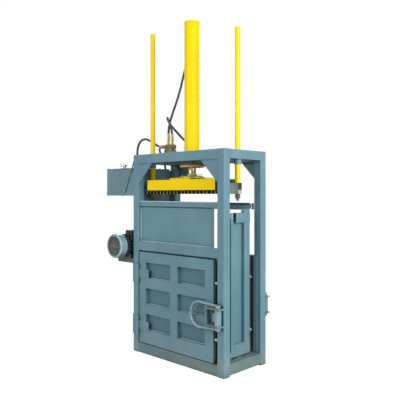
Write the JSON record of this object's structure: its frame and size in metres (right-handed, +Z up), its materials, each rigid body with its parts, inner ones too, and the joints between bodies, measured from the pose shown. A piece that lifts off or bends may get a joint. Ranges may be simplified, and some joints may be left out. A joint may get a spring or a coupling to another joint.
{
  "type": "recycling baler",
  "caption": "Small vertical hydraulic baler: square-tube frame, bale chamber with front and rear doors, guided platen under an upright cylinder, side oil tank, motor pump and valve.",
  "frame": {"origin": "centre of the frame's footprint on the floor, on the underside of the middle floor bearer", "axes": "+Z up; the front door faces -Y; +X to the right of someone facing the front door, so the oil tank is on the -X side"},
  "size_m": [1.381, 0.635, 2.64],
  "materials": {
    "frame_paint": "satin blue-grey paint",
    "floor_steel": "worn blue-grey paint",
    "yellow_paint": "gloss yellow paint",
    "greased_steel": "oiled steel",
    "zinc": "zinc",
    "motor_paint": "gloss green-grey paint",
    "dark_metal": "dark",
    "brass": "dull brass and olive",
    "clear_cap": "gloss",
    "hose_rubber": "matt"
  },
  "bodies": {
    "frame": {"post_front_left": "frame_paint", "post_front_right": "frame_paint", "post_rear_left": "frame_paint", "post_rear_right": "frame_paint", "top_beam_front": "frame_paint", "top_beam_rear": "frame_paint", "top_beam_left": "frame_paint", "top_beam_right": "frame_paint", "bottom_rail_front": "frame_paint", "bottom_rail_rear": "frame_paint", "bottom_rail_left": "frame_paint", "bottom_rail_right": "frame_paint", "mid_rail_front": "frame_paint", "cylinder_bridge": "frame_paint", "floor_bearers": "frame_paint", "chamber_floor": "floor_steel", "side_wall_left": "frame_paint", "side_wall_right": "frame_paint", "upper_front_panel": "frame_paint", "left_upper_plate": "frame_paint", "rear_rim_rail": "frame_paint", "guide_sleeve_left": "frame_paint", "guide_sleeve_right": "frame_paint", "cylinder_tube": "yellow_paint", "cylinder_cap": "yellow_paint", "cylinder_flange": "yellow_paint", "front_hinge_brackets": "frame_paint", "rear_hinge_brackets": "frame_paint", "oil_tank": "frame_paint", "tank_shelf": "frame_paint", "filler_cap": "clear_cap", "power_shelf": "frame_paint", "motor_housing": "motor_paint", "fan_cover": "motor_paint", "bell_housing": "motor_paint", "gear_pump": "dark_metal", "valve_block": "brass", "lower_port_hose": "hose_rubber", "upper_port_hose": "hose_rubber", "return_hose": "hose_rubber", "pressure_hose": "hose_rubber", "suction_hose": "hose_rubber"},
    "ram": {"piston": "greased_steel", "piston_rod": "greased_steel", "rod_hub": "greased_steel", "platen_beam": "yellow_paint", "platen_sole": "yellow_paint", "platen_ear_left": "frame_paint", "platen_ear_right": "frame_paint", "guide_rod_left": "yellow_paint", "guide_rod_right": "yellow_paint", "guide_rod_nuts": "zinc"},
    "front_door_leaf": {"front_door": "frame_paint"},
    "rear_door_leaf": {"rear_door": "frame_paint"},
    "front_latch": {"front_latch_cam": "frame_paint", "front_latch_handle": "frame_paint"},
    "rear_latch": {"rear_latch_cam": "frame_paint", "rear_latch_handle": "frame_paint"},
    "lever": {"valve_lever": "zinc"},
    "rotor": {"motor_rotor": "dark_metal"}
  },
  "joints": [
    {"name": "ram_slide", "type": "slide", "parent": "frame", "child": "ram", "axis": [0, 0, 1], "range_m": [-0.82, 0.05]},
    {"name": "front_door_hinge", "type": "hinge", "parent": "frame", "child": "front_door_leaf", "pos_m": [-0.428, -0.254, 0.4355], "axis": [0, 0, -1], "range_deg": [0, 110]},
    {"name": "rear_door_hinge", "type": "hinge", "parent": "frame", "child": "rear_door_leaf", "pos_m": [-0.428, 0.254, 0.4355], "axis": [0, 0, 1], "range_deg": [0, 110]},
    {"name": "front_latch_turn", "type": "hinge", "parent": "front_door_leaf", "child": "front_latch", "pos_m": [0.467, -0.268, 0.425], "axis": [0, 0, 1], "range_deg": [0, 100]},
    {"name": "rear_latch_turn", "type": "hinge", "parent": "rear_door_leaf", "child": "rear_latch", "pos_m": [0.467, 0.268, 0.445], "axis": [0, 0, -1], "range_deg": [0, 100]},
    {"name": "valve_lever_tilt", "type": "hinge", "parent": "frame", "child": "lever", "pos_m": [-0.332, 0.062, 1.636], "axis": [1, 0, 0], "range_deg": [-12, 12], "stiffness_Nm_per_rad": 8},
    {"name": "motor_spin", "type": "hinge", "parent": "frame", "child": "rotor", "pos_m": [-0.63, -0.1, 0.858], "axis": [0, 1, 0], "continuous": true}
  ]
}
